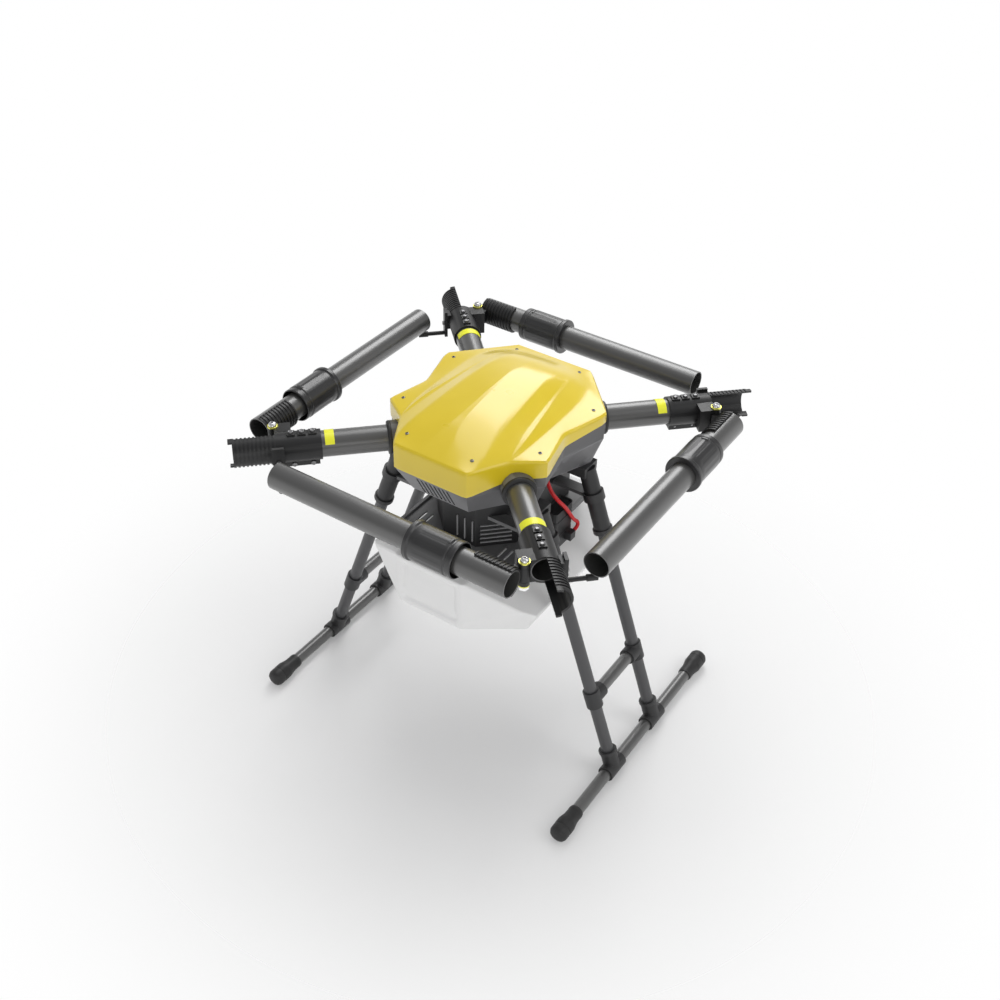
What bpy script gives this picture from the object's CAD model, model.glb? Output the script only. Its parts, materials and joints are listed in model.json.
import json
from math import atan2, cos, pi, radians, sin
import bpy
import bmesh
from mathutils import Matrix, Quaternion, Vector

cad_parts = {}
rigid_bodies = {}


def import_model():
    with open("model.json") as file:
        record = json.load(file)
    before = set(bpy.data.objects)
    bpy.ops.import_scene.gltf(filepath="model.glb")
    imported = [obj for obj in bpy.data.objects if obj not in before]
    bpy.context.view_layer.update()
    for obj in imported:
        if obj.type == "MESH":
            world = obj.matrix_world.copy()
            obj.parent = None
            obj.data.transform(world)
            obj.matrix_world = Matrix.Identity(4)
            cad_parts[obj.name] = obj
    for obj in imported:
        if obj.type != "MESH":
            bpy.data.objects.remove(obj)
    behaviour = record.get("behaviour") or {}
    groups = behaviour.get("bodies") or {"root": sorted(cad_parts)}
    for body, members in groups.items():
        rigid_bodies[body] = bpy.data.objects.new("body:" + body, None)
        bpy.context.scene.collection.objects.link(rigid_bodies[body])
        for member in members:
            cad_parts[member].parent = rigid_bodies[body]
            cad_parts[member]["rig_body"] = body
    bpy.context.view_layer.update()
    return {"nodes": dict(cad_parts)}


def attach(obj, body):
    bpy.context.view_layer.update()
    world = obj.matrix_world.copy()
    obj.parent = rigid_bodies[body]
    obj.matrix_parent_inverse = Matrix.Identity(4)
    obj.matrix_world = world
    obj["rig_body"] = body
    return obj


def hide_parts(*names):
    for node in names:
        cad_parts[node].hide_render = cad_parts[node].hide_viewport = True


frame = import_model()
nodes = frame["nodes"]
mm = 0.001

# ---- Camera, floor and lights -------------------------------------------------------------
# A raised three-quarter view from the nose end. The pale floor keeps the shadow under the
# aircraft and fades into the white beyond it. Broad soft boxes behind, above and to the right
# draw the long highlights on the tubes and cover.
azimuth, elevation, roll = radians(33.16), radians(37.93), radians(1.45)
target = Vector((5.26, 3.45, 383.7)) * mm
CAMERA_DISTANCE = 2.061
away = Vector((sin(azimuth) * cos(elevation), -cos(azimuth) * cos(elevation), sin(elevation)))
camera_data = bpy.data.cameras.new("camera")
camera_data.sensor_width = 36
camera_data.lens = 46.73
camera_data.clip_end = 60
camera = bpy.data.objects.new("camera", camera_data)
camera.location = target + away * CAMERA_DISTANCE
camera.rotation_mode = "QUATERNION"
camera.rotation_quaternion = (-away).to_track_quat("-Z", "Y") @ Quaternion((0, 0, 1), roll)
bpy.context.scene.collection.objects.link(camera)
bpy.context.scene.camera = camera

world = bpy.data.worlds.new("studio")
bpy.context.scene.world = world
world.use_nodes = True
tree = world.node_tree
tree.nodes.clear()
path = tree.nodes.new("ShaderNodeLightPath")
place = tree.nodes.new("ShaderNodeTexCoord")
height = tree.nodes.new("ShaderNodeSeparateXYZ")
sky = tree.nodes.new("ShaderNodeValToRGB")
sky.color_ramp.elements[0].position = 0.0
sky.color_ramp.elements[0].color = (0.95, 0.95, 0.95, 1)
sky.color_ramp.elements[1].position = 1.0
sky.color_ramp.elements[1].color = (0.62, 0.62, 0.63, 1)
for at, level in ((0.18, 0.8), (0.45, 0.34), (0.62, 0.34)):
    stop = sky.color_ramp.elements.new(at)
    stop.color = (level, level, level, 1)
lit = tree.nodes.new("ShaderNodeBackground")
seen = tree.nodes.new("ShaderNodeBackground")
seen.inputs["Color"].default_value = (1, 1, 1, 1)
mix = tree.nodes.new("ShaderNodeMixShader")
out = tree.nodes.new("ShaderNodeOutputWorld")
tree.links.new(place.outputs["Generated"], height.inputs[0])
tree.links.new(height.outputs["Z"], sky.inputs["Fac"])
tree.links.new(sky.outputs["Color"], lit.inputs["Color"])
tree.links.new(path.outputs["Is Camera Ray"], mix.inputs["Fac"])
tree.links.new(lit.outputs["Background"], mix.inputs[1])
tree.links.new(seen.outputs["Background"], mix.inputs[2])
tree.links.new(mix.outputs["Shader"], out.inputs["Surface"])


def soft_box(name, middle, size, power):
    """Rectangular area light aimed at the middle of the aircraft."""
    data = bpy.data.lights.new(name, "AREA")
    data.shape = "RECTANGLE"
    data.size, data.size_y = size
    data.energy = power
    light = bpy.data.objects.new(name, data)
    light.location = middle
    light.rotation_mode = "QUATERNION"
    light.rotation_quaternion = (target - Vector(middle)).to_track_quat("-Z", "Y")
    bpy.context.scene.collection.objects.link(light)


soft_box("back_soft_box", (-0.62, 1.75, 2.15), (1.2, 1.4), 25)
soft_box("top_soft_box", (-0.6, 0.75, 2.95), (1.0, 1.5), 10)
soft_box("right_soft_box", (2.6, 0.6, 2.6), (1.8, 1.8), 18)
soft_box("front_fill", (1.6, -2.6, 1.2), (1.6, 1.2), 8)

bpy.ops.mesh.primitive_plane_add(size=40, location=(0, 0, -0.0004))
floor = bpy.context.object
floor.name = "studio_floor"
floor_paint = bpy.data.materials.new("studio_floor")
floor_paint.use_nodes = True
surface = floor_paint.node_tree.nodes["Principled BSDF"]
surface.inputs["Base Color"].default_value = (0.92, 0.92, 0.92, 1)
surface.inputs["Roughness"].default_value = 0.6
floor_tree = floor_paint.node_tree
floor_place = floor_tree.nodes.new("ShaderNodeTexCoord")
floor_reach = floor_tree.nodes.new("ShaderNodeVectorMath")
floor_reach.operation = "LENGTH"
floor_fade = floor_tree.nodes.new("ShaderNodeMapRange")
floor_fade.interpolation_type = "SMOOTHSTEP"
FADE_START, FADE_END = 0.1, 0.95
floor_fade.inputs["From Min"].default_value = FADE_START
floor_fade.inputs["From Max"].default_value = FADE_END
beyond = floor_tree.nodes.new("ShaderNodeBsdfTransparent")
floor_blend = floor_tree.nodes.new("ShaderNodeMixShader")
floor_tree.links.new(floor_place.outputs["Object"], floor_reach.inputs[0])
floor_tree.links.new(floor_reach.outputs["Value"], floor_fade.inputs["Value"])
floor_tree.links.new(floor_fade.outputs["Result"], floor_blend.inputs["Fac"])
floor_tree.links.new(surface.outputs["BSDF"], floor_blend.inputs[1])
floor_tree.links.new(beyond.outputs["BSDF"], floor_blend.inputs[2])
floor_tree.links.new(floor_blend.outputs["Shader"],
                     floor_tree.nodes["Material Output"].inputs["Surface"])
floor.data.materials.append(floor_paint)
bpy.context.scene.view_settings.view_transform = "Standard"

# ---- Inner decks and electronics ----------------------------------------------------------
# Two cut carbon plates on alloy posts carry the arm clamps. The power board and the flight
# controller sit between and on them, all under the cover.
MOTTLE_SPREAD = 1.0
ROUGHNESS_SPREAD = 0.12


def group_sockets(group, way, sockets):
    """Gives a node group its named inputs or outputs."""
    for name, kind, default in sockets:
        socket = group.interface.new_socket(name, in_out=way, socket_type=kind)
        if default is not None:
            socket.default_value = default


def dress(material, *names):
    """Gives CAD nodes a material."""
    for name in names:
        nodes[name].data.materials.clear()
        nodes[name].data.materials.append(material)


surface_grain = bpy.data.node_groups.new("surface_grain", "ShaderNodeTree")
group_sockets(surface_grain, "INPUT", (("Scale", "NodeSocketFloat", 900),
                                       ("Strength", "NodeSocketFloat", 0.1),
                                       ("Mottle", "NodeSocketFloat", 0.1)))
group_sockets(surface_grain, "OUTPUT", (("Normal", "NodeSocketVector", None),
                                        ("Mottle", "NodeSocketFloat", None),
                                        ("Edge", "NodeSocketFloat", None)))
inside = surface_grain.nodes.new("NodeGroupInput")
outside = surface_grain.nodes.new("NodeGroupOutput")
coords = surface_grain.nodes.new("ShaderNodeTexCoord")
grain = surface_grain.nodes.new("ShaderNodeTexNoise")
grain.inputs["Detail"].default_value = 3
patches = surface_grain.nodes.new("ShaderNodeTexNoise")
patches.inputs["Scale"].default_value = 22
patches.inputs["Detail"].default_value = 4
bump = surface_grain.nodes.new("ShaderNodeBump")
bump.inputs["Distance"].default_value = 0.0002
spread = surface_grain.nodes.new("ShaderNodeMath")
spread.operation = "MULTIPLY_ADD"
spread.inputs[2].default_value = 0.5
centre = surface_grain.nodes.new("ShaderNodeMath")
centre.operation = "SUBTRACT"
centre.inputs[1].default_value = 0.5
shape = surface_grain.nodes.new("ShaderNodeNewGeometry")
rubbed = surface_grain.nodes.new("ShaderNodeMapRange")
rubbed.inputs["From Min"].default_value = 0.52
rubbed.inputs["From Max"].default_value = 0.62
surface_grain.links.new(coords.outputs["Object"], grain.inputs["Vector"])
surface_grain.links.new(coords.outputs["Object"], patches.inputs["Vector"])
surface_grain.links.new(inside.outputs["Scale"], grain.inputs["Scale"])
surface_grain.links.new(grain.outputs["Fac"], bump.inputs["Height"])
surface_grain.links.new(inside.outputs["Strength"], bump.inputs["Strength"])
surface_grain.links.new(patches.outputs["Fac"], centre.inputs[0])
surface_grain.links.new(centre.outputs[0], spread.inputs[0])
surface_grain.links.new(inside.outputs["Mottle"], spread.inputs[1])
surface_grain.links.new(bump.outputs["Normal"], outside.inputs["Normal"])
surface_grain.links.new(spread.outputs[0], outside.inputs["Mottle"])
surface_grain.links.new(shape.outputs["Pointiness"], rubbed.inputs["Value"])
surface_grain.links.new(rubbed.outputs["Result"], outside.inputs["Edge"])


def grained(name, dark, light, rough, grain_scale=900, strength=0.1, edge=None, sockets=()):
    """Plastic, paint or metal whose colour and roughness drift a little, with rubbed edges.

    The last argument lists shader sockets and the constant that each is set to."""
    material = bpy.data.materials.new(name)
    material.use_nodes = True
    tree = material.node_tree
    surface = tree.nodes["Principled BSDF"]
    skin = tree.nodes.new("ShaderNodeGroup")
    skin.node_tree = surface_grain
    skin.inputs["Scale"].default_value = grain_scale
    skin.inputs["Strength"].default_value = strength
    skin.inputs["Mottle"].default_value = MOTTLE_SPREAD
    colour = tree.nodes.new("ShaderNodeMix")
    colour.data_type = "RGBA"
    colour.inputs["A"].default_value = (*dark, 1)
    colour.inputs["B"].default_value = (*light, 1)
    gloss = tree.nodes.new("ShaderNodeMapRange")
    gloss.inputs["To Min"].default_value = rough - ROUGHNESS_SPREAD / 2
    gloss.inputs["To Max"].default_value = rough + ROUGHNESS_SPREAD / 2
    tree.links.new(skin.outputs["Mottle"], colour.inputs["Factor"])
    tree.links.new(skin.outputs["Mottle"], gloss.inputs["Value"])
    worn = tree.nodes.new("ShaderNodeMix")
    worn.data_type = "RGBA"
    worn.inputs["B"].default_value = (*(edge or [min(1, 1.5 * c + 0.01) for c in light]), 1)
    tree.links.new(skin.outputs["Edge"], worn.inputs["Factor"])
    tree.links.new(colour.outputs["Result"], worn.inputs["A"])
    tree.links.new(worn.outputs["Result"], surface.inputs["Base Color"])
    tree.links.new(gloss.outputs["Result"], surface.inputs["Roughness"])
    tree.links.new(skin.outputs["Normal"], surface.inputs["Normal"])
    for socket, value in sockets:
        surface.inputs[socket].default_value = value
    return material


def only(piece):
    """Leaves one piece selected and active."""
    if bpy.context.object and bpy.context.object.mode != "OBJECT":
        bpy.ops.object.mode_set(mode="OBJECT")
    bpy.ops.object.select_all(action="DESELECT")
    piece.select_set(True)
    bpy.context.view_layer.objects.active = piece


def pick(piece, faces=None, edges=None):
    """Goes to edit mode with the faces, or edges, selected for which the test is true."""
    only(piece)
    bpy.ops.object.mode_set(mode="EDIT")
    bpy.ops.mesh.select_all(action="DESELECT")
    bpy.context.tool_settings.mesh_select_mode = (False, edges is not None, faces is not None)
    cage = bmesh.from_edit_mesh(piece.data)
    for item in (cage.faces if faces else cage.edges):
        if (faces or edges)(item):
            item.select_set(True)
    cage.select_flush_mode()
    bmesh.update_edit_mesh(piece.data)


def apply(piece, kind, **settings):
    """Adds a modifier with its settings and applies it."""
    only(piece)
    modifier = piece.modifiers.new(kind.lower(), kind)
    for setting, value in settings.items():
        setattr(modifier, setting, value)
    bpy.ops.object.modifier_apply(modifier=modifier.name)


def smooth(piece, angle=32):
    only(piece)
    bpy.ops.object.shade_smooth_by_angle(angle=radians(angle))
    apply(piece, "WEIGHTED_NORMAL", keep_sharp=True)


def place_piece(piece, body, material, stands_for=()):
    """Names the finish and the body of a finished piece, and the nodes it stands for."""
    only(piece)
    bpy.ops.object.transform_apply(location=True, rotation=True, scale=True)
    piece.data.materials.clear()
    piece.data.materials.append(material)
    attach(piece, body)
    if stands_for:
        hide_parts(*stands_for)
    return piece


def copy_merged(node, name):
    """A copy of a CAD node with its loose triangles merged into whole faces."""
    mesh = nodes[node].data.copy()
    piece = bpy.data.objects.new(name, mesh)
    bpy.context.scene.collection.objects.link(piece)
    only(piece)
    bpy.ops.mesh.customdata_custom_splitnormals_clear()
    bpy.ops.object.mode_set(mode="EDIT")
    bpy.ops.mesh.select_all(action="SELECT")
    bpy.ops.mesh.remove_doubles(threshold=0.00001)
    bpy.ops.mesh.dissolve_limited(angle_limit=radians(0.5))
    bpy.ops.object.mode_set(mode="OBJECT")
    return piece


def round_edges(piece, width, segments=2, angle=32):
    apply(piece, "BEVEL", width=width * mm, segments=segments, limit_method="ANGLE",
          angle_limit=radians(angle), use_clamp_overlap=True)


def rounded(node, name, width, material, segments=2, angle=32):
    """The merged copy of a CAD node with rounded edges, in the node's place."""
    piece = copy_merged(node, name)
    round_edges(piece, width, segments, angle)
    smooth(piece)
    return place_piece(piece, nodes[node]["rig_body"], material, [node])


deck_board = grained("deck_plate", (0.02, 0.02, 0.022), (0.045, 0.045, 0.048), 0.4,
                     grain_scale=900, strength=0.1)
dress(deck_board, "lower_deck", "upper_deck")
post_alloy = grained("post_alloy", (0.5, 0.5, 0.52), (0.68, 0.68, 0.7), 0.35,
                     sockets=[("Metallic", 1)])
dress(post_alloy, "deck_posts")
board_green = grained("board_green", (0.01, 0.08, 0.03), (0.02, 0.13, 0.05), 0.35,
                      grain_scale=500, strength=0.2)
dress(board_green, "power_board")
controller_case = grained("controller_case", (0.02, 0.02, 0.022), (0.04, 0.04, 0.042), 0.35)
dress(controller_case, "flight_controller")

# ---- Arm tubes, legs and skid tubes ----------------------------------------------------------
# Wound carbon fibre tubes under a satin clear coat. The cloth shows only as a faint twill,
# and the cut ends are plain.
ARMS = ("front_left", "back_left", "back_right", "front_right")


def twill(material, strength):
    """Adds the faint diagonal cloth of a carbon tube to a finish."""
    tree = material.node_tree
    surface = tree.nodes["Principled BSDF"]
    coords = tree.nodes.new("ShaderNodeTexCoord")
    cloth = tree.nodes.new("ShaderNodeTexWave")
    cloth.wave_type = "BANDS"
    cloth.bands_direction = "DIAGONAL"
    cloth.inputs["Scale"].default_value = 210
    cloth.inputs["Distortion"].default_value = 1.2
    cloth.inputs["Detail Scale"].default_value = 3
    raised = tree.nodes.new("ShaderNodeBump")
    raised.inputs["Strength"].default_value = strength
    raised.inputs["Distance"].default_value = 0.0001
    tree.links.new(coords.outputs["Object"], cloth.inputs["Vector"])
    tree.links.new(cloth.outputs["Fac"], raised.inputs["Height"])
    tree.links.new(surface.inputs["Normal"].links[0].from_socket, raised.inputs["Normal"])
    tree.links.new(raised.outputs["Normal"], surface.inputs["Normal"])


carbon = grained("carbon_tube", (0.016, 0.016, 0.016), (0.032, 0.032, 0.031), 0.36,
                 grain_scale=420, strength=0.02,
                 sockets=[("Coat Weight", 0.85), ("Coat Roughness", 0.32), ("Coat IOR", 1.75)])
twill(carbon, 0.025)
dress(carbon, *[f"root_tube_{arm}" for arm in ARMS], *[f"outer_tube_{arm}" for arm in ARMS],
      "crossbars", "skids")
leg_carbon = grained("leg_tube", (0.026, 0.026, 0.028), (0.044, 0.044, 0.046), 0.42,
                     grain_scale=420, strength=0.05)
twill(leg_carbon, 0.1)
dress(leg_carbon, *[f"leg_{end}_{side}" for end in ("front", "back") for side in ("left", "right")])

# ---- Folding joints ---------------------------------------------------------------------------
# Glass-filled nylon mouldings with a fine satin texture: clamp barrels, ribbed half shells,
# hinge ears and lugs. Every outer edge of the mould is slightly rounded.
moulding = grained("joint_moulding", (0.005, 0.005, 0.0055), (0.013, 0.013, 0.014), 0.42,
                   grain_scale=1600, strength=0.12, edge=(0.03, 0.03, 0.03))
for arm in ARMS:
    rounded(f"joint_base_{arm}", f"clamp_barrel_{arm}", 0.7, moulding)
    rounded(f"hinge_half_{arm}", f"thread_half_{arm}", 0.5, moulding)
dress(deck_board, "arm_clamps")

# ---- Hinge bolts, washers and clamp screws ------------------------------------------------------
# Bright domed bolts through the hinge ears, on yellow zinc washers, with nuts underneath. The
# clamp screws are small grey steel socket heads.
HINGE_REACH = 335.87
PIN_OFFSET = 29
ARM_HEIGHT = 524
HEADING = {"front_left": 225, "back_left": 135, "back_right": 45, "front_right": 315}


def arm_frame(arm):
    """Level frame of an arm's root: x along the arm, y to its left."""
    return Matrix.Translation((0, 0, ARM_HEIGHT * mm)) @ Matrix.Rotation(radians(HEADING[arm]), 4, "Z")


def hinge_frame(arm):
    """The arm's frame moved to its hinge pin."""
    return arm_frame(arm) @ Matrix.Translation((HINGE_REACH * mm, -PIN_OFFSET * mm, 0))


def turned(name, profile, vertices=48, closed=False):
    """A piece turned about x: rings of (distance, radius) in millimetres, extruded one by one."""
    bpy.ops.object.select_all(action="DESELECT")
    x, r = profile[0]
    bpy.ops.mesh.primitive_circle_add(vertices=vertices, radius=r * mm, location=(x * mm, 0, 0),
                                      rotation=(0, pi / 2, 0), fill_type="NOTHING")
    piece = bpy.context.object
    piece.name = name
    bpy.ops.object.transform_apply(location=True, rotation=True, scale=True)
    bpy.ops.object.mode_set(mode="EDIT")
    bpy.context.tool_settings.mesh_select_mode = (True, False, False)
    bpy.ops.mesh.select_all(action="SELECT")
    if not closed:
        bpy.ops.mesh.edge_face_add()
        bpy.ops.mesh.select_all(action="SELECT")
    for next_x, next_r in profile[1:]:
        bpy.ops.mesh.extrude_region_move(TRANSFORM_OT_translate={"value": ((next_x - x) * mm, 0, 0)})
        bpy.ops.transform.resize(value=(1, next_r / r, next_r / r), center_override=(next_x * mm, 0, 0))
        x, r = next_x, next_r
    if closed:
        bpy.ops.mesh.select_all(action="SELECT")
        bpy.ops.mesh.region_to_loop()
        bpy.ops.mesh.bridge_edge_loops()
    bpy.ops.mesh.select_all(action="SELECT")
    bpy.ops.mesh.remove_doubles(threshold=0.000001)
    bpy.ops.mesh.normals_make_consistent(inside=False)
    bpy.ops.object.mode_set(mode="OBJECT")
    return piece


def copies(piece, name, frames):
    """One joined piece from copies of a model set at several frames; the model is used up."""
    meshes = []
    for frame_matrix in frames:
        mesh = piece.data.copy()
        mesh.transform(frame_matrix)
        meshes.append(mesh)
    bpy.ops.object.select_all(action="DESELECT")
    made = []
    for mesh in meshes:
        twin = bpy.data.objects.new(name, mesh)
        bpy.context.scene.collection.objects.link(twin)
        twin.select_set(True)
        made.append(twin)
    bpy.context.view_layer.objects.active = made[0]
    if len(made) > 1:
        bpy.ops.object.join()
    bpy.data.objects.remove(piece)
    made[0].name = name
    return made[0]


bright_steel = grained("bright_steel", (0.5, 0.5, 0.51), (0.72, 0.72, 0.73), 0.2,
                       grain_scale=1200, strength=0.06, sockets=[("Metallic", 1)])
yellow_zinc = grained("yellow_zinc", (0.42, 0.4, 0.06), (0.6, 0.58, 0.12), 0.32,
                      grain_scale=900, strength=0.08, sockets=[("Metallic", 0.8)])
black_steel = grained("black_steel", (0.02, 0.02, 0.022), (0.05, 0.05, 0.055), 0.35,
                      grain_scale=1200, strength=0.08, edge=(0.3, 0.3, 0.3),
                      sockets=[("Metallic", 0.6)])
dress(yellow_zinc, "hinge_washers")
dress(bright_steel, "hinge_nuts")
dress(black_steel, "deck_screws")

EAR_TOP = 19
WASHER = 2
HEAD_LEVEL = EAR_TOP + WASHER
upright = Matrix.Rotation(-pi / 2, 4, "Y")  # turns a piece made along x to stand on end
bolt = turned("bolt_model", [(-HEAD_LEVEL - 5.5, 4), (HEAD_LEVEL, 4), (HEAD_LEVEL, 6.3),
                             (HEAD_LEVEL + 1.4, 6.5), (HEAD_LEVEL + 3.2, 5.8),
                             (HEAD_LEVEL + 4.7, 4.4), (HEAD_LEVEL + 5.4, 2.6),
                             (HEAD_LEVEL + 5.3, 2.3), (HEAD_LEVEL + 3, 2.2)])
smooth(bolt, 50)
hinge_bolts = copies(bolt, "domed_hinge_bolts", [hinge_frame(arm) @ upright for arm in ARMS])
place_piece(hinge_bolts, "frame", bright_steel, ["hinge_bolts"])

clamp_screws = copy_merged("clamp_screws", "socket_head_screws")
HEAD_AREA = (30e-6, 45e-6)  # square metres of the round top of a screw head
pick(clamp_screws, faces=lambda face: HEAD_AREA[0] < face.calc_area() < HEAD_AREA[1]
     and len(face.verts) > 12)
bpy.ops.mesh.inset(thickness=0.0015, depth=-0.0012, use_individual=True)
bpy.ops.object.mode_set(mode="OBJECT")
round_edges(clamp_screws, 0.35, 1)
smooth(clamp_screws)
grey_steel = grained("grey_steel", (0.2, 0.2, 0.205), (0.32, 0.32, 0.325), 0.38,
                     grain_scale=1200, strength=0.08, sockets=[("Metallic", 0.9)])
place_piece(clamp_screws, "frame", grey_steel, ["clamp_screws"])

# ---- Lock sleeves -------------------------------------------------------------------------------
# Moulded sleeves that slide along the outer tubes and lock the joint when the arm is unfolded.
# A thick lip stands at the mouth, shallow grip flats run along the body and a collar closes it.
FOLD = radians(135)
SLEEVE_START, SLEEVE_END = 82, 161
SLEEVE_BORE = 25.3
GRIPS = 12
GRIP_START, GRIP_END = 99, 141
sleeve_satin = grained("sleeve_satin", (0.01, 0.01, 0.011), (0.02, 0.02, 0.021), 0.36,
                       grain_scale=1800, strength=0.1, edge=(0.026, 0.026, 0.027),
                       sockets=[("Coat Weight", 0.6), ("Coat Roughness", 0.28)])
sleeve = turned("sleeve_model", [
    (SLEEVE_START, SLEEVE_BORE), (SLEEVE_START, 26.2), (83.2, 27.1), (90, 27.1), (91, 26.2),
    (93.5, 26.2), (94.5, 27.5), (98, 27.5), (142, 27.4), (148, 27.4), (150, 27.0), (152.5, 27.0),
    (154.5, 29.3), (159.8, 29.3), (SLEEVE_END, 28.3), (SLEEVE_END, 20.06), (156, 20.06),
    (156, SLEEVE_BORE)], vertices=96, closed=True)


def on_grip(face):
    """Faces of the sleeve's middle that lie in one of the grip flats."""
    middle = face.calc_center_median()
    turn = atan2(middle.z, middle.y) / (2 * pi) * GRIPS % 1
    return (GRIP_START * mm < middle.x < GRIP_END * mm and middle.yz.length > 0.026
            and 0.22 < turn < 0.78)


def on_pointer(face):
    """Faces at the top of the sleeve's front edge, where the pointer stands."""
    middle = face.calc_center_median()
    return (0.0945 < middle.x < 0.098 and middle.yz.length > 0.026
            and abs(middle.y) < 0.006 and middle.z > 0)


pick(sleeve, faces=on_grip)
bpy.ops.mesh.inset(thickness=0.0016, depth=-0.0004)
bpy.ops.object.mode_set(mode="OBJECT")
pick(sleeve, faces=on_pointer)
bpy.ops.mesh.inset(thickness=0.0004, depth=0.0016)
bpy.ops.object.mode_set(mode="OBJECT")
round_edges(sleeve, 0.5, 2, 28)
smooth(sleeve, 30)
for arm in ARMS:
    swing = hinge_frame(arm) @ Matrix.Rotation(-FOLD, 4, "Z")
    mesh = sleeve.data.copy()
    mesh.transform(swing @ Matrix.Translation((0, PIN_OFFSET * mm, 0)))
    piece = bpy.data.objects.new(f"grip_sleeve_{arm}", mesh)
    bpy.context.scene.collection.objects.link(piece)
    place_piece(piece, f"sleeve_{arm}", sleeve_satin, [f"lock_sleeve_{arm}"])
bpy.data.objects.remove(sleeve)

# ---- Tube rests and marker bands ---------------------------------------------------------------
# Cast brackets with a rubber-tipped rod hold the folded tubes at the open ends of the arms.
# Bright yellow bands round the root tubes mark where each joint is clamped.
rubber = grained("rubber", (0.008, 0.008, 0.008), (0.018, 0.018, 0.018), 0.5,
                 grain_scale=700, strength=0.2)
rounded("tube_rests", "rest_brackets", 0.8, moulding)
rounded("rest_tips", "rest_rubber_tips", 1.2, rubber, 3)
band_film = grained("marker_band", (0.8, 0.74, 0.01), (0.92, 0.86, 0.02), 0.35,
                    grain_scale=300, strength=0.03)
dress(band_film, "marker_bands")

# ---- Lower shell -----------------------------------------------------------------------------
# Injection-moulded grey tub with straight upper walls, a sloping belly, cooling slots at the
# nose and recessed side panels. Rubber seals close it round the arm tubes.
shell_plastic = grained("shell_plastic", (0.1, 0.1, 0.104), (0.135, 0.135, 0.14), 0.42,
                        grain_scale=1400, strength=0.15)
shell = copy_merged("lower_shell", "grey_tub")


def side_wall(face):
    """The straight outer walls between the arms."""
    middle = face.calc_center_median()
    return (abs(face.normal.z) < 0.05 and face.calc_area() > 0.0012 and abs(middle.x) > 0.1
            and middle.to_2d().dot(face.normal.to_2d()) > 0.05 and middle.z > 0.52)


PANEL_MARGIN, PANEL_DEPTH = 7, 1.2
pick(shell, faces=side_wall)
bpy.ops.mesh.inset(thickness=PANEL_MARGIN * mm, depth=-PANEL_DEPTH * mm, use_individual=True)
bpy.ops.object.mode_set(mode="OBJECT")
round_edges(shell, 1.2, 2, 25)
smooth(shell)
place_piece(shell, "frame", shell_plastic, ["lower_shell"])
SEAL_START, SEAL_END, SEAL_BORE = 163, 168.8, 20.1
seal = turned("arm_seal_model", [(SEAL_START, SEAL_BORE), (SEAL_START, 25.2), (164, 25.9),
                                 (166.6, 25.9), (168.2, 24.6), (SEAL_END, 21.6),
                                 (SEAL_END, SEAL_BORE)], vertices=64, closed=True)
smooth(seal, 40)
seals = copies(seal, "arm_seal_rings", [arm_frame(arm) for arm in ARMS])
place_piece(seals, "frame", rubber, ["arm_seals"])

# ---- Top cover ----------------------------------------------------------------------------------
# One glossy yellow moulding with long creased facets that run from the nose over the crown.
# Its rim has a small rounded chamfer and its skirt slants up towards the back.
# half outline of the rim, from the nose to the tail, and the height of the skirt's foot there
RIM = [(0, -175), (65, -175), (99, -113), (142, -84), (126, -12), (149, 71), (68, 160), (0, 160)]
SKIRT = [526, 526, 536.2, 541, 546.6, 553, 557, 557]
RIM_LEVEL = 569
RIM_CHAMFER = 2.6
COVER_WALL = 2.5
ARCH_R = 26.3
CORNER_CREASE, EDGE_CREASE = 0.9, 0.85


def drawn_in(points, distance):
    """Half outline moved inwards by a distance, with its ends kept on the middle line."""
    result = []
    for i, (x, y) in enumerate(points):
        before = points[i - 1] if i else (-points[1][0], points[1][1])
        after = points[i + 1] if i + 1 < len(points) else (-points[-2][0], points[-2][1])
        run_in = Vector((x - before[0], y - before[1])).normalized()
        run_out = Vector((after[0] - x, after[1] - y)).normalized()
        side = Vector((-run_in.y - run_out.y, run_in.x + run_out.x)).normalized()
        step = distance / max(0.3, side.dot(Vector((-run_in.y, run_in.x))))
        result.append((x + side.x * step, y + side.y * step))
    return result


rim_top = drawn_in(RIM, RIM_CHAMFER)
NOSE_CORNER = (*rim_top[2], RIM_LEVEL)
# lines that run from the nose over the crown to the tail, from the middle outwards
CREST_LINES = {
    "centre": [(0, -172.4, 569), (0, -140, 583), (0, -97, 597), (0, 0, 606), (0, 60, 604),
               (0, 100, 595), (0, 138, 574)],
    "split": [(22, -172.4, 569), (17, -140, 583), (4, -97, 597), (3, 0, 606), (3, 60, 604),
              (3, 100, 595), (3, 138, 574)],
    "crest": [(71.8, -157.5, 569), (68, -134, 579.5), (60, -88, 590), (54, 0, 598.5),
              (45, 70, 600), (33, 102, 592), (27, 138, 574)],
    "upper": [NOSE_CORNER, (92, -97, 575), (85, -62, 581), (75, 10, 586), (66, 82, 590),
              (56, 112, 583), (46, 139, 573)],
    "terrace": [NOSE_CORNER, (96, -97, 574), (95, -64, 579.5), (81, 10, 584.5), (70, 84, 588),
                (66, 114, 580), (56, 140, 572)],
    "foot": [NOSE_CORNER, (100, -97, 571), (104, -66, 573), (104, 10, 573.5), (104, 84, 574),
             (86, 116, 572), (64, 141, 571)],
}
cover_mesh = bpy.data.meshes.new("yellow_cover")
cage = bmesh.new()
crease = cage.edges.layers.float.new("crease_edge")
corner_crease = cage.verts.layers.float.new("crease_vert")
grid = {}


def cage_point(x, y, z):
    """One corner of the cage at each place, made at its first use."""
    key = (round(x, 2), round(y, 2), round(z, 2))
    if key not in grid:
        grid[key] = cage.verts.new((x * mm, y * mm, z * mm))
    return grid[key]


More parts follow.
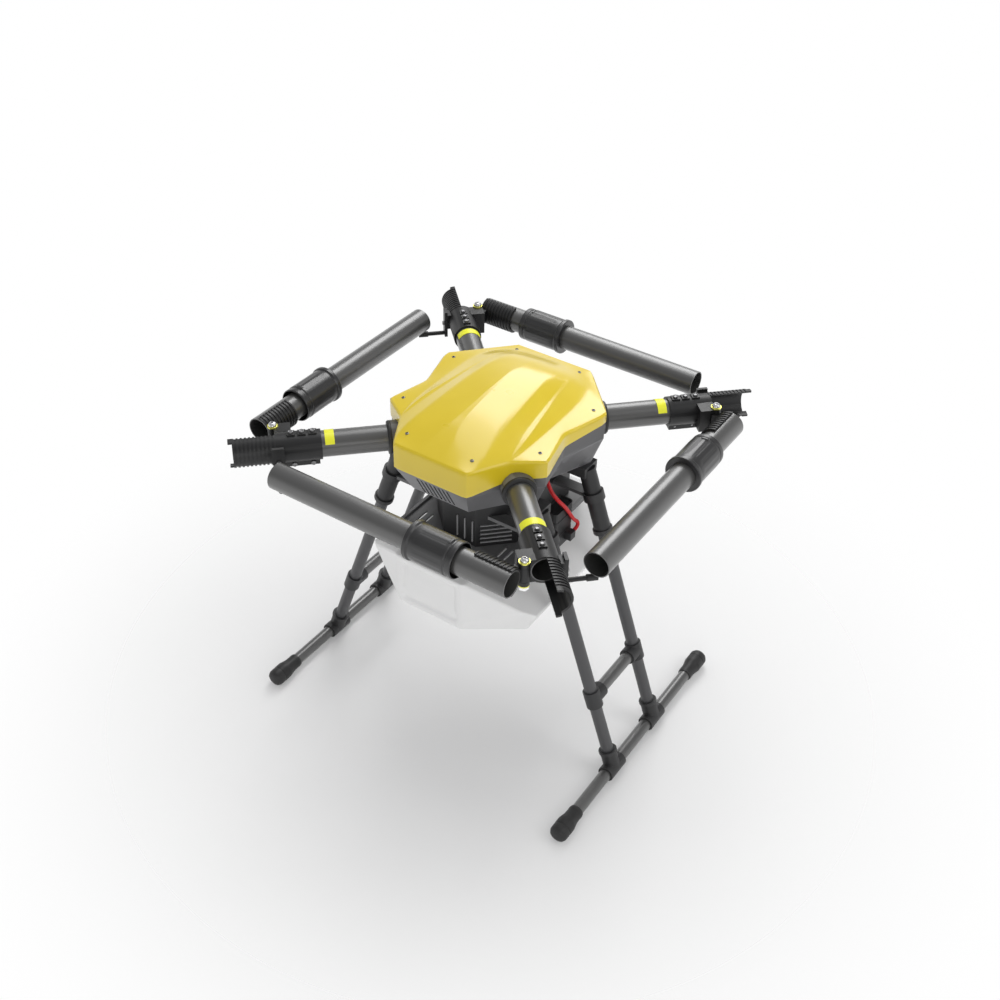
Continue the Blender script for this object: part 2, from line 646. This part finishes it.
def cage_face(*corners):
    """A face of the cage; corners that fall together count once."""
    kept = []
    for corner in corners:
        if corner not in kept:
            kept.append(corner)
    return cage.faces.new(kept)


def creased(a, b, amount):
    """Keeps the edge between two corners sharp, by an amount from 0 to 1."""
    edge = cage.edges.get((a, b))
    if edge:
        edge[crease] = amount


lines = {name: [cage_point(*p) for p in row] for name, row in CREST_LINES.items()}
top = [cage_point(x, y, RIM_LEVEL) for x, y in rim_top]
side = [cage_point(x, y, RIM_LEVEL - RIM_CHAMFER) for x, y in RIM]
hem = [cage_point(x, y, z) for (x, y), z in zip(RIM, SKIRT)]
# skirt walls and the chamfer of the rim; the two nose faces reach the crest lines
for i in range(len(RIM) - 1):
    cage_face(hem[i], hem[i + 1], side[i + 1], side[i])
    if i > 1:
        cage_face(side[i], side[i + 1], top[i + 1], top[i])
cage_face(side[0], side[1], top[1], lines["split"][0], top[0])
cage_face(side[1], side[2], top[2], lines["crest"][0], top[1])
# facets between neighbouring lines
names = list(CREST_LINES)
for left, right in zip(names, names[1:]):
    for i in range(6):
        corners = [lines[left][i], lines[right][i], lines[right][i + 1], lines[left][i + 1]]
        if left == "split" and i == 0:
            corners.insert(1, top[1])
        cage_face(*corners)
# wing between the foot line and the rim, then the nose and tail margins
wing = cage_point(*[(a + b) / 2 for a, b in zip(rim_top[2], rim_top[3])], RIM_LEVEL)
cage_face(top[2], wing, lines["foot"][1])
cage_face(lines["foot"][1], wing, top[3], lines["foot"][2])
cage_face(lines["foot"][2], top[3], top[4], lines["foot"][3])
cage_face(lines["foot"][3], top[4], top[5], lines["foot"][4])
back = cage_point(*[(a + b) / 2 for a, b in zip(rim_top[5], rim_top[6])], RIM_LEVEL)
cage_face(lines["foot"][4], top[5], back, lines["foot"][5])
cage_face(lines["foot"][5], back, top[6], lines["foot"][6])
TAIL_SHARES = (0.05, 0.4, 0.68, 0.84)
tail_width, tail_y = top[6].co.x / mm, rim_top[7][1]
tail = [top[7], *[cage_point(tail_width * share, tail_y, RIM_LEVEL) for share in TAIL_SHARES], top[6]]
for i, name in enumerate(names[:-1]):
    cage_face(lines[name][6], lines[names[i + 1]][6], tail[i + 1], tail[i])
for ring, amount in ((hem, 1), (side, EDGE_CREASE), (top, EDGE_CREASE)):
    for a, b in zip(ring, ring[1:]):
        creased(a, b, amount)
for a, b, c in zip(hem, side, top):
    creased(a, b, CORNER_CREASE)
    creased(b, c, CORNER_CREASE)
nose = [top[0], lines["split"][0], top[1], lines["crest"][0], top[2], wing, top[3]]
for row in (nose, [top[5], back, top[6]], tail):
    for a, b in zip(row, row[1:]):
        creased(a, b, EDGE_CREASE)
for row in (hem, side, top):
    for corner in row[1:-1]:
        corner[corner_crease] = CORNER_CREASE
# the crease of each line fades towards the tail
for name, amounts in (("split", (0.9, 0.9, 0.7, 0.45, 0, 0)),
                      ("crest", (0.95, 0.95, 0.9, 0.7, 0.3, 0)),
                      ("upper", (0.95, 0.95, 0.9, 0.85, 0.4, 0)),
                      ("terrace", (0.95, 0.95, 0.95, 0.9, 0.4, 0)),
                      ("foot", (0.95, 0.95, 0.9, 0.85, 0.4, 0))):
    for a, b, amount in zip(lines[name], lines[name][1:], amounts):
        creased(a, b, amount)
cage.to_mesh(cover_mesh)
cage.free()
cover = bpy.data.objects.new("yellow_cover", cover_mesh)
bpy.context.scene.collection.objects.link(cover)
apply(cover, "MIRROR", use_clip=True, merge_threshold=0.0001)
only(cover)
bpy.ops.object.mode_set(mode="EDIT")
bpy.ops.mesh.select_all(action="SELECT")
bpy.ops.mesh.remove_doubles(threshold=0.00002)
bpy.ops.mesh.normals_make_consistent(inside=False)
bpy.ops.object.mode_set(mode="OBJECT")
apply(cover, "SUBSURF", levels=3, render_levels=3)
apply(cover, "SOLIDIFY", thickness=COVER_WALL * mm, offset=-1, use_even_offset=True)
for arm in ARMS:
    bpy.ops.object.select_all(action="DESELECT")
    bpy.ops.mesh.primitive_cylinder_add(vertices=64, radius=ARCH_R * mm, depth=53 * mm)
    cutter = bpy.context.object
    cutter.data.transform(arm_frame(arm) @ Matrix.Translation((156.5 * mm, 0, 0))
                          @ Matrix.Rotation(pi / 2, 4, "Y"))
    apply(cover, "BOOLEAN", object=cutter, operation="DIFFERENCE", solver="EXACT")
    bpy.data.objects.remove(cutter)
only(cover)
bpy.ops.object.shade_smooth_by_angle(angle=radians(40))
cover_paint = grained("cover_paint", (0.79, 0.585, 0.01), (0.86, 0.65, 0.018), 0.3,
                      grain_scale=260, strength=0.012, edge=(0.87, 0.66, 0.03),
                      sockets=[("Coat Weight", 0.6), ("Coat Roughness", 0.16)])
place_piece(cover, "frame", cover_paint, ["top_cover"])

# small dark screws, each sunk to its head where it goes through the cover
bpy.context.view_layer.update()
screw = turned("cover_screw_model", [(-20, 2), (-1.6, 2), (-1.2, 2.6), (0.2, 2.9), (0.8, 2.5),
                                     (1.0, 1.5), (0.2, 1.3)], vertices=24)
smooth(screw, 40)
SCREW_SPOTS = ((57, -150), (122, -74), (128, 64), (58, 138))
seats = []
for x, y in SCREW_SPOTS:
    for side_sign in (-1, 1):
        above = Vector((side_sign * x * mm, y * mm, 1))
        spot = cover.ray_cast(above, Vector((0, 0, -1)))[1]
        seats.append(Matrix.Translation(spot) @ upright)
cover_screws = copies(screw, "cover_screw_heads", seats)
place_piece(cover_screws, "frame", black_steel, ["cover_screws"])

# ---- Landing gear -------------------------------------------------------------------------------
# Carbon legs in moulded sockets under the shell, tied to the battery case by struts, with
# moulded tees at the crossbars and skids. Rubber caps close the skid tubes.
fitting = grained("fitting_plastic", (0.014, 0.014, 0.015), (0.03, 0.03, 0.031), 0.45,
                  grain_scale=1500, strength=0.12)
strut_plastic = grained("strut_plastic", (0.09, 0.09, 0.092), (0.14, 0.14, 0.142), 0.45,
                        grain_scale=1200, strength=0.12)
rounded("leg_mounts", "leg_mount_blocks", 1.6, fitting)
rounded("leg_sockets", "leg_socket_tubes", 0.8, fitting)
struts = rounded("leg_struts", "leg_strut_arms", 0.8, strut_plastic)
struts.data.materials.append(fitting)
RING_START = 126  # the struts end in black rings round the legs
for polygon in struts.data.polygons:
    polygon.material_index = int(abs(polygon.center.x) > RING_START * mm)
rounded("skid_tees", "skid_tee_fittings", 0.8, fitting)
rounded("crossbar_tees", "crossbar_tee_fittings", 0.8, fitting)

SKID_X, SKID_LEVEL = 289, 15
SKID_ENDS = ((-248, pi / 2), (233, -pi / 2))  # place along the skid and turn of each end
CAP_LENGTH = 60
cap = turned("skid_cap_model", [(CAP_LENGTH, 10.05), (CAP_LENGTH, 11.4), (57, 12.2), (53, 12.2),
                                (52, 11.9), (42, 12.3), (36, 13.4), (31, 14.6), (29, 15),
                                (18, 15), (17, 14.3), (15, 14.3), (14, 15), (6, 14.8),
                                (2, 12.8), (0, 9.0), (0, 0.4)], vertices=48)
smooth(cap, 40)
skid_frames = []
for side_sign in (-1, 1):
    for y, turn in SKID_ENDS:
        skid_frames.append(Matrix.Translation((side_sign * SKID_X * mm, y * mm, SKID_LEVEL * mm))
                           @ Matrix.Rotation(turn, 4, "Z"))
caps = copies(cap, "skid_end_caps", skid_frames)
place_piece(caps, "frame", rubber, ["skid_caps"])

# ---- Spray tank ---------------------------------------------------------------------------------
# Rotomoulded natural polyethylene: a milky hull with large soft edges, a chined floor, sloping
# shoulders, a low step at the back for the filler and a recessed front face.
TANK_WIDTH, TANK_LENGTH = 314, 364
TANK_LOW, TANK_HIGH = 270, 366
CORNER_SLOPE = (0.559, 0.787, -0.261)  # outward normal of the hull below a cut corner
bpy.ops.object.select_all(action="DESELECT")
bpy.ops.mesh.primitive_cube_add(size=1, location=(0, 0, (TANK_LOW + TANK_HIGH) / 2 * mm),
                                scale=(TANK_WIDTH * mm, TANK_LENGTH * mm, (TANK_HIGH - TANK_LOW) * mm))
tank = bpy.context.object
tank.name = "milky_tank"
bpy.ops.object.transform_apply(location=True, rotation=True, scale=True)


def slice_off(piece, spot, normal):
    """Cuts away what lies beyond a plane and closes the cut."""
    pick(piece, faces=lambda face: True)
    bpy.ops.mesh.bisect(plane_co=[c * mm for c in spot], plane_no=normal, clear_outer=True,
                        use_fill=True)
    bpy.ops.object.mode_set(mode="OBJECT")


for side_sign in (-1, 1):
    for end in (-1, 1):
        slice_off(tank, (side_sign * TANK_WIDTH / 2, end * 124, 305),
                  Vector((side_sign * 58, end * 97, 0)).normalized())
        slope_x, slope_y, slope_z = CORNER_SLOPE
        slice_off(tank, (side_sign * 57, end * 178, TANK_LOW),
                  Vector((side_sign * slope_x, end * slope_y, slope_z)))
    # the chine below and the shoulder above
    slice_off(tank, (side_sign * 140, 0, TANK_LOW), Vector((side_sign * 35, 0, -17)).normalized())
    slice_off(tank, (side_sign * 64, 0, TANK_HIGH), Vector((side_sign * 61, 0, 93)).normalized())
for end in (-1, 1):
    slice_off(tank, (0, end * 178, TANK_LOW), Vector((0, end * 35, -4)).normalized())
bpy.ops.object.select_all(action="DESELECT")
bpy.ops.mesh.primitive_cube_add(size=1, location=(0, 222 * mm, 386 * mm),
                                scale=(400 * mm, 200 * mm, 100 * mm))
step_cutter = bpy.context.object  # takes the low step for the filler out of the back
apply(tank, "BOOLEAN", object=step_cutter, operation="DIFFERENCE", solver="EXACT")
bpy.data.objects.remove(step_cutter)
pick(tank, faces=lambda face: face.normal.y < -0.95)
bpy.ops.mesh.inset(thickness=0.009, depth=0)
bpy.ops.mesh.inset(thickness=0.004, depth=-0.005)
bpy.ops.object.mode_set(mode="OBJECT")
round_edges(tank, 3.5, 3, 12)
smooth(tank, 40)
tank_plastic = grained("tank_plastic", (0.82, 0.82, 0.82), (0.9, 0.9, 0.895), 0.38,
                       grain_scale=300, strength=0.06, edge=(0.9, 0.9, 0.9),
                       sockets=[("Subsurface Weight", 0.15),
                                ("Subsurface Radius", (0.02, 0.02, 0.02))])
place_piece(tank, "frame", tank_plastic, ["spray_tank"])
NECK_FOOT, NECK_TOP, NECK_BORE, NECK_Y = 333, 350, 20, 152
neck = turned("filler_neck", [(NECK_FOOT, 23), (345, 23), (345.5, 23.6), (347, 23.6), (347.5, 23),
                              (NECK_TOP, 22.6), (NECK_TOP, NECK_BORE), (NECK_FOOT, NECK_BORE)],
              vertices=64, closed=True)
smooth(neck, 40)
neck.data.transform(Matrix.Translation((0, NECK_Y * mm, 0)) @ upright)
place_piece(neck, "frame", tank_plastic)
cap_plastic = grained("cap_plastic", (0.012, 0.012, 0.013), (0.024, 0.024, 0.025), 0.4)
rounded("tank_cap", "screw_cap", 0.8, cap_plastic)
outlet_plastic = grained("outlet_plastic", (0.2, 0.2, 0.21), (0.28, 0.28, 0.29), 0.4)
rounded("tank_outlet", "outlet_nozzle", 0.6, outlet_plastic)

# ---- Carrier plate, battery case and battery --------------------------------------------------
# A slotted grey plate with turned-up lips carries the black battery case, whose louvres and
# slots show the pale wrap of the pack inside.
plate_plastic = grained("plate_plastic", (0.08, 0.08, 0.082), (0.12, 0.12, 0.122), 0.45,
                        grain_scale=1200, strength=0.12)
case_plastic = grained("case_plastic", (0.006, 0.006, 0.0065), (0.014, 0.014, 0.015), 0.42,
                       grain_scale=1400, strength=0.15)
battery_wrap = grained("battery_wrap", (0.4, 0.4, 0.41), (0.55, 0.55, 0.56), 0.4,
                       grain_scale=300, strength=0.1)
rounded("tank_plate", "slotted_plate", 0.6, plate_plastic)
rounded("battery_case", "louvred_case", 0.9, case_plastic)
rounded("battery_pack", "wrapped_battery", 3, battery_wrap, 3)

# thin alloy blades stand in the louvres and slots of the case
bpy.ops.object.select_all(action="DESELECT")
bpy.ops.mesh.primitive_cube_add(size=1, scale=(3 * mm, 49 * mm, 1.4 * mm))
blade = bpy.context.object
bpy.ops.object.transform_apply(location=True, rotation=True, scale=True)
pick(blade, faces=lambda face: abs(face.normal.x) > 0.9)
bpy.ops.mesh.inset(thickness=0.0003, depth=-0.0002, use_individual=True)
bpy.ops.object.mode_set(mode="OBJECT")
round_edges(blade, 0.25, 2, 40)
smooth(blade)
LOUVRES, LOUVRE_LEVEL, LOUVRE_PITCH = 5, 377, 8
SLOT_PLACES = (-4, 10, 24)
blade_places = [Matrix.Translation((52.3 * mm, -77.3 * mm, (LOUVRE_LEVEL + LOUVRE_PITCH * row) * mm))
                @ Matrix.Rotation(-pi / 4, 4, "Z") for row in range(LOUVRES)]
blade_places += [Matrix.Translation((x * mm, -99.6 * mm, 397 * mm))
                 @ Matrix.Rotation(-pi / 2, 4, "Z") @ Matrix.Rotation(pi / 2, 4, "X")
                 @ Matrix.Diagonal((1, 0.8, 1, 1)) for x in SLOT_PLACES]
blades = copies(blade, "louvre_blades", blade_places)
blade_alloy = grained("blade_alloy", (0.22, 0.22, 0.225), (0.32, 0.32, 0.325), 0.38,
                      grain_scale=600, strength=0.08)
place_piece(blades, "frame", blade_alloy)

# ---- Pump and its red lead --------------------------------------------------------------------
# A small pump housing on an angle bracket at the side of the plate. One red silicone lead comes
# out of the shell, hangs over the outer face and hooks into a plug at the pump's foot.
PUMP_BOX = ((104, -30, 360), (130, 20, 430))
low_corner, high_corner = [Vector(corner) * mm for corner in PUMP_BOX]
bpy.ops.object.select_all(action="DESELECT")
bpy.ops.mesh.primitive_cube_add(size=1, location=(low_corner + high_corner) / 2,
                                scale=high_corner - low_corner)
pump = bpy.context.object
pump.name = "pump_housing"
bpy.ops.object.transform_apply(location=True, rotation=True, scale=True)
pick(pump, edges=lambda edge: (sum(v.co.x for v in edge.verts) / 2 > 0.1295
                               and abs(edge.verts[0].co.z - edge.verts[1].co.z) > 0.01))
bpy.ops.mesh.bevel(offset=0.006, segments=4)
bpy.ops.object.mode_set(mode="OBJECT")
GROOVES = ((0.384, 0.388), (0.412, 0.416))  # lower and upper edge of each groove, in metres
for groove in GROOVES:
    for level in groove:
        pick(pump, faces=lambda face: True)
        bpy.ops.mesh.bisect(plane_co=(0, 0, level), plane_no=(0, 0, 1))
        bpy.ops.object.mode_set(mode="OBJECT")
pick(pump, faces=lambda face: (abs(face.normal.z) < 0.1 and face.normal.x > -0.5 and any(
    low < face.calc_center_median().z < high for low, high in GROOVES)))
bpy.ops.mesh.extrude_region_shrink_fatten(TRANSFORM_OT_shrink_fatten={"value": -0.0008})
bpy.ops.object.mode_set(mode="OBJECT")
pick(pump, faces=lambda face: face.normal.z > 0.9 and face.calc_center_median().z > 0.429)
bpy.ops.mesh.inset(thickness=0.003, depth=0.0)
bpy.ops.mesh.inset(thickness=0.001, depth=-0.001)
bpy.ops.object.mode_set(mode="OBJECT")
round_edges(pump, 1.2, 3, 40)
smooth(pump, 40)
pump_plastic = grained("pump_plastic", (0.006, 0.006, 0.0065), (0.016, 0.016, 0.017), 0.42,
                       grain_scale=1300, strength=0.15)
place_piece(pump, "frame", pump_plastic, ["spray_pump"])
rounded("pump_bracket", "angle_bracket", 0.7, case_plastic)

LEAD_ROUTE = [(100, -14, 478), (110, -22, 467), (126, -23, 454), (134, -12, 438), (134, 6, 411),
              (134, 18, 394), (135, 28, 385), (136, 26, 376), (136, 10, 376)]
LEAD_D = 0.006
lead_curve = bpy.data.curves.new("red_silicone_lead", "CURVE")
lead_curve.dimensions = "3D"
lead_curve.bevel_depth = LEAD_D / 2
lead_curve.bevel_resolution = 6
lead_curve.resolution_u = 16
lead_curve.use_fill_caps = True
spline = lead_curve.splines.new("NURBS")
spline.points.add(len(LEAD_ROUTE) - 1)
for control, spot in zip(spline.points, LEAD_ROUTE):
    control.co = (*[c * mm for c in spot], 1)
spline.order_u = 3
spline.use_endpoint_u = True
lead = bpy.data.objects.new("red_silicone_lead", lead_curve)
bpy.context.scene.collection.objects.link(lead)
lead_red = grained("red_silicone", (0.52, 0.004, 0.008), (0.68, 0.008, 0.014), 0.38,
                   grain_scale=700, strength=0.05)
lead_curve.materials.append(lead_red)
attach(lead, "frame")
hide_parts("red_lead")
plug = copy_merged("lead_plug", "lead_plug_housing")
pick(plug, faces=lambda face: abs(face.normal.z) > 0.9 or face.normal.y > 0.9)
bpy.ops.mesh.inset(thickness=0.0016, depth=0, use_individual=True)
bpy.ops.mesh.inset(thickness=0.0006, depth=-0.0006, use_individual=True)
bpy.ops.object.mode_set(mode="OBJECT")
round_edges(plug, 0.8, 2, 40)
smooth(plug, 40)
place_piece(plug, "frame", pump_plastic, ["lead_plug"])
